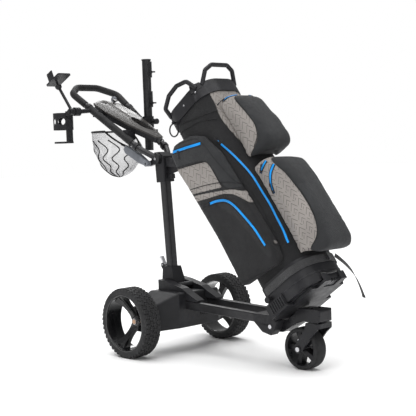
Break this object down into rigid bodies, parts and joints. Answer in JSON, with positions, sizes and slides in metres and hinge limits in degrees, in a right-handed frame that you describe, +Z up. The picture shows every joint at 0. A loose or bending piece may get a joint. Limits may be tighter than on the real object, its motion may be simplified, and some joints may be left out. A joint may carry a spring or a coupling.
{
  "type": "golf bag on push cart",
  "caption": "Cart golf bag with zipped pockets strapped on a three-wheeled push cart with folding handle, console, umbrella tube, net, cup and phone holders.",
  "frame": {"origin": "middle of the bounding box's bottom face, on the ground", "axes": "+X towards the front wheel, +Y to the left side of the cart, +Z up"},
  "size_m": [1.499, 0.611, 1.264],
  "materials": {
    "tyre_rubber": "matt",
    "gloss_black": "gloss",
    "black_plastic": "satin",
    "battery_case": "satin",
    "motor_metal": "satin",
    "black_aluminium": "satin anodised",
    "bright_steel": "satin",
    "grip_foam": "matt",
    "console_grey": "satin",
    "mid_grey": "satin",
    "net": "open mesh",
    "bag_fabric": "woven",
    "pattern_fabric": "woven with a zigzag print",
    "webbing": "webbing"
  },
  "bodies": {
    "chassis": {"axle_housing": "black_plastic", "housing_cover": "black_plastic", "battery_pack": "battery_case", "drive_motors": "motor_metal", "frame_rails": "black_aluminium", "front_bracket": "black_plastic", "mast_socket": "black_plastic", "mast_tube": "black_aluminium", "mast_hub": "black_plastic", "hinge_pins": "bright_steel", "upper_bag_bracket": "black_plastic", "lower_bag_tray": "black_plastic", "base_strap": "webbing", "strap_tail": "webbing"},
    "rear_wheel_right": {"rear_tyre_right": "tyre_rubber", "rear_rim_right": "gloss_black", "rear_axle_right": "bright_steel"},
    "rear_wheel_left": {"rear_tyre_left": "tyre_rubber", "rear_rim_left": "gloss_black", "rear_axle_left": "bright_steel"},
    "front_leg": {"front_leg": "black_aluminium"},
    "front_fork": {"front_fork": "black_aluminium", "front_axle": "bright_steel"},
    "front_wheel": {"front_tyre": "tyre_rubber", "front_rim": "gloss_black"},
    "latch_lever": {"latch_lever": "bright_steel"},
    "handle": {"handle_arm_left": "black_aluminium", "handle_arm_right": "black_aluminium", "arm_sleeves": "grip_foam", "handle_grip": "grip_foam", "console_cover": "console_grey", "console_base": "black_plastic", "control_board": "black_plastic", "console_mounts": "black_plastic", "net_pouch": "net", "umbrella_tube": "black_aluminium", "umbrella_clamp": "black_plastic", "accessory_bar": "black_plastic"},
    "lock_lever": {"lock_lever": "mid_grey"},
    "power_button": {"power_button": "mid_grey"},
    "speed_dial": {"speed_dial": "mid_grey"},
    "umbrella_extension": {"umbrella_extension": "black_aluminium"},
    "thumbscrew_lower": {"thumbscrew_lower": "black_plastic"},
    "thumbscrew_upper": {"thumbscrew_upper": "black_plastic"},
    "phone_stem": {"phone_stem": "black_plastic"},
    "phone_plate": {"phone_plate": "black_plastic"},
    "phone_jaw": {"phone_jaw": "black_plastic"},
    "cup_holder": {"cup_holder": "black_plastic"},
    "bag": {"bag_body": "bag_fabric", "bag_base": "black_plastic", "bag_collar": "black_plastic", "bag_divider": "black_plastic", "front_handle": "black_plastic", "side_handle": "black_plastic", "upper_pocket": "pattern_fabric", "lower_pocket": "pattern_fabric", "side_pocket_right": "bag_fabric", "side_pocket_left": "bag_fabric"},
    "towel_ring": {"towel_ring": "black_plastic"},
    "zip_slider": {"zip_slider": "bright_steel"}
  },
  "joints": [
    {"name": "rear_wheel_right_spin", "type": "hinge", "parent": "chassis", "child": "rear_wheel_right", "pos_m": [-0.15206, -0.2655, 0.145], "axis": [0, 1, 0], "continuous": true},
    {"name": "rear_wheel_left_spin", "type": "hinge", "parent": "chassis", "child": "rear_wheel_left", "pos_m": [-0.15206, 0.2655, 0.145], "axis": [0, 1, 0], "continuous": true},
    {"name": "front_leg_fold", "type": "hinge", "parent": "chassis", "child": "front_leg", "pos_m": [0.44794, 0, 0.16], "axis": [0, 1, 0], "range_deg": [0, 88]},
    {"name": "front_fork_swivel", "type": "hinge", "parent": "front_leg", "child": "front_fork", "pos_m": [0.63494, 0, 0.189], "axis": [0, 0, 1], "continuous": true},
    {"name": "front_wheel_spin", "type": "hinge", "parent": "front_fork", "child": "front_wheel", "pos_m": [0.55894, 0, 0.081], "axis": [0, 1, 0], "continuous": true},
    {"name": "latch_lever_turn", "type": "hinge", "parent": "chassis", "child": "latch_lever", "pos_m": [-0.23206, 0, 0.352], "axis": [0, 1, 0], "range_deg": [-100, 0]},
    {"name": "handle_fold", "type": "hinge", "parent": "chassis", "child": "handle", "pos_m": [-0.21406, 0, 0.812], "axis": [0, 1, 0], "range_deg": [-50, 10], "deforming": ["net_pouch"]},
    {"name": "lock_lever_squeeze", "type": "hinge", "parent": "handle", "child": "lock_lever", "pos_m": [-0.25006, 0, 0.792], "axis": [0, 1, 0], "range_deg": [0, 8], "stiffness_Nm_per_rad": 3, "springref_deg": -5.73},
    {"name": "power_button_press", "type": "slide", "parent": "handle", "child": "power_button", "axis": [-0.4147, 0, -0.91], "range_m": [0, 0.0015], "stiffness_N_per_m": 300, "springref_m": -0.001},
    {"name": "speed_dial_turn", "type": "hinge", "parent": "handle", "child": "speed_dial", "pos_m": [-0.65206, 0.09, 1.092], "axis": [0, 1, 0], "range_deg": [0, 270]},
    {"name": "umbrella_extend", "type": "slide", "parent": "handle", "child": "umbrella_extension", "axis": [0, 0, 1], "range_m": [0, 0.1]},
    {"name": "thumbscrew_lower_turn", "type": "hinge", "parent": "handle", "child": "thumbscrew_lower", "pos_m": [-0.43506, 0.138, 1.064], "axis": [1, 0, 0], "continuous": true},
    {"name": "thumbscrew_upper_turn", "type": "hinge", "parent": "umbrella_extension", "child": "thumbscrew_upper", "pos_m": [-0.43506, 0.138, 1.204], "axis": [1, 0, 0], "continuous": true},
    {"name": "phone_stem_swing", "type": "hinge", "parent": "handle", "child": "phone_stem", "pos_m": [-0.54706, -0.225, 1.03], "axis": [0, 1, 0], "range_deg": [-5, 50]},
    {"name": "phone_plate_tilt", "type": "hinge", "parent": "phone_stem", "child": "phone_plate", "pos_m": [-0.64606, -0.225, 1.146], "axis": [0, 1, 0], "range_deg": [-20, 20]},
    {"name": "phone_jaw_open", "type": "slide", "parent": "phone_plate", "child": "phone_jaw", "axis": [0, -1, 0], "range_m": [0, 0.018], "stiffness_N_per_m": 60, "springref_m": -0.004},
    {"name": "cup_holder_tilt", "type": "hinge", "parent": "handle", "child": "cup_holder", "pos_m": [-0.54706, -0.238, 1.03], "axis": [0, 1, 0], "range_deg": [-20, 12]},
    {"name": "bag_lift", "type": "slide", "parent": "chassis", "child": "bag", "axis": [-0.5821, 0, 0.8131], "range_m": [0, 0.4]},
    {"name": "towel_ring_swing", "type": "hinge", "parent": "bag", "child": "towel_ring", "pos_m": [0.00558, -0.13, 0.95669], "axis": [0, 1, 0], "range_deg": [-40, 40]},
    {"name": "zip_slider_run", "type": "slide", "parent": "bag", "child": "zip_slider", "axis": [0.9794, 0, 0.2017], "range_m": [0, 0.12]}
  ]
}
